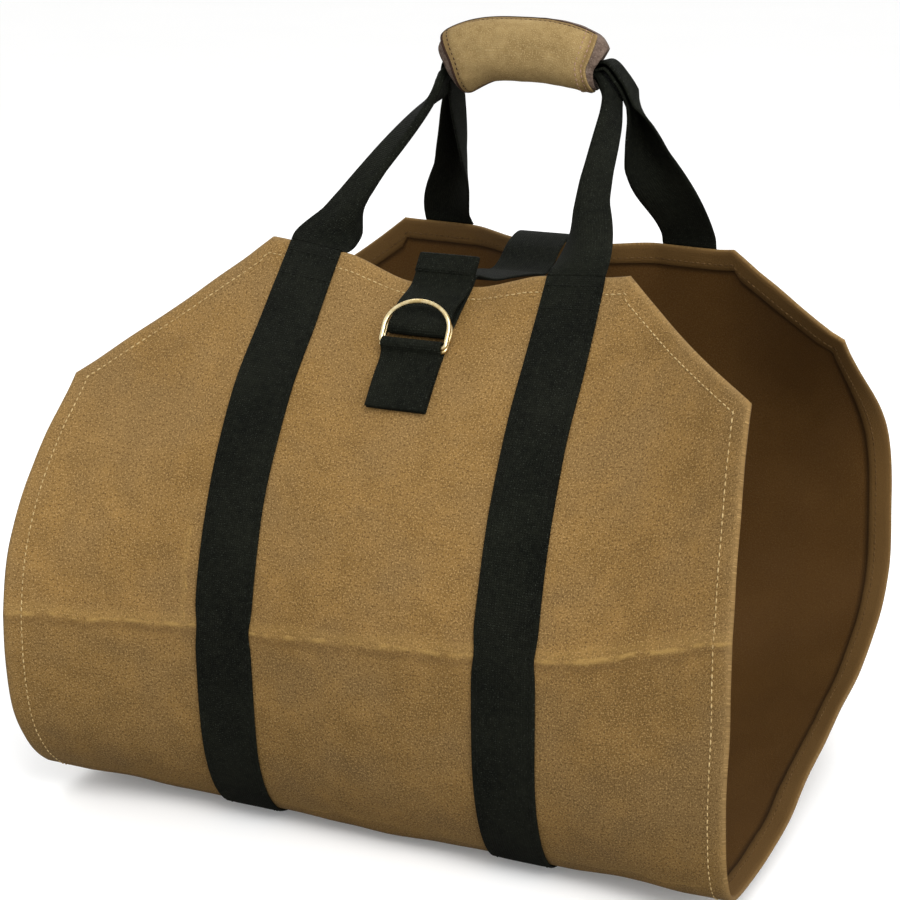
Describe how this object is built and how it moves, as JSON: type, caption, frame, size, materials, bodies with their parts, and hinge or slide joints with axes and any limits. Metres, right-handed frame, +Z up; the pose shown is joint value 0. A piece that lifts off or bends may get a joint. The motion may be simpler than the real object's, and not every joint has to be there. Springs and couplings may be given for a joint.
{
  "type": "canvas log carrier",
  "caption": "Waxed canvas sling for firewood with webbing loops under a padded grip and a strap closure through brass D-rings.",
  "frame": {"origin": "middle of the grip's underside, where a hand lifts the carrier", "axes": "+X along the grip and across the cloth, to the right seen from the front; -Y the front with the ring closure; +Z up"},
  "size_m": [0.4556, 0.384, 0.4827],
  "materials": {
    "waxed_canvas": "waxed cotton canvas, satin",
    "black_webbing": "ribbed polyester webbing, matt",
    "grip_canvas": "cotton canvas, matt",
    "grip_felt": "coarse felt, matt",
    "brass": "polished, pale"
  },
  "bodies": {
    "root": {"canvas_body": "waxed_canvas", "strap_left": "black_webbing", "strap_right": "black_webbing", "handle_front": "black_webbing", "handle_back": "black_webbing", "grip_pad": "grip_felt", "grip_face": "grip_canvas", "ring_tab": "black_webbing", "d_ring_lower": "brass", "d_ring_upper": "brass", "closure_strap": "black_webbing"}
  },
  "joints": []
}
